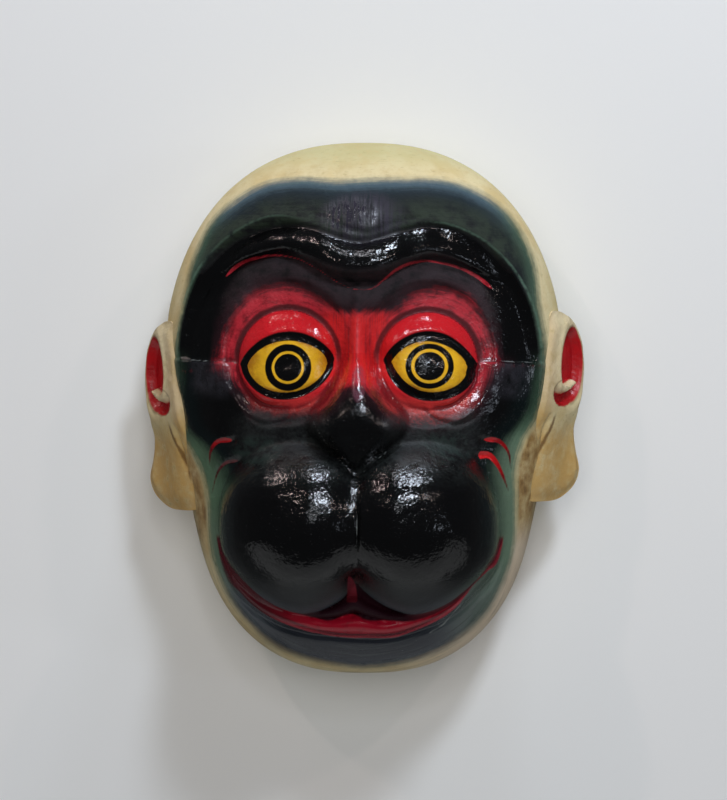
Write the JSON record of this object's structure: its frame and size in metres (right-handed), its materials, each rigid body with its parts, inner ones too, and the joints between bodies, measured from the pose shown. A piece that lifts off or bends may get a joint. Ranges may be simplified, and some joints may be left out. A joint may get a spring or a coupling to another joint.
{
  "type": "hanuman mask",
  "caption": "Carved and lacquered wooden monkey mask with a furrowed brow, round eyes, a full double muzzle, small ears and a hollow back, lying on its flat rim.",
  "frame": {"origin": "centre of the bounding box on the plane of the flat back rim that the mask lies on", "axes": "+Z out of the face, away from the wearer; +Y from chin to crown; +X towards the viewer's right"},
  "size_m": [0.283, 0.34, 0.18],
  "materials": {
    "lacquered_wood": "light wood under black, cream, red and yellow lacquer"
  },
  "bodies": {
    "root": {"carved_mask": "lacquered_wood"}
  },
  "joints": []
}
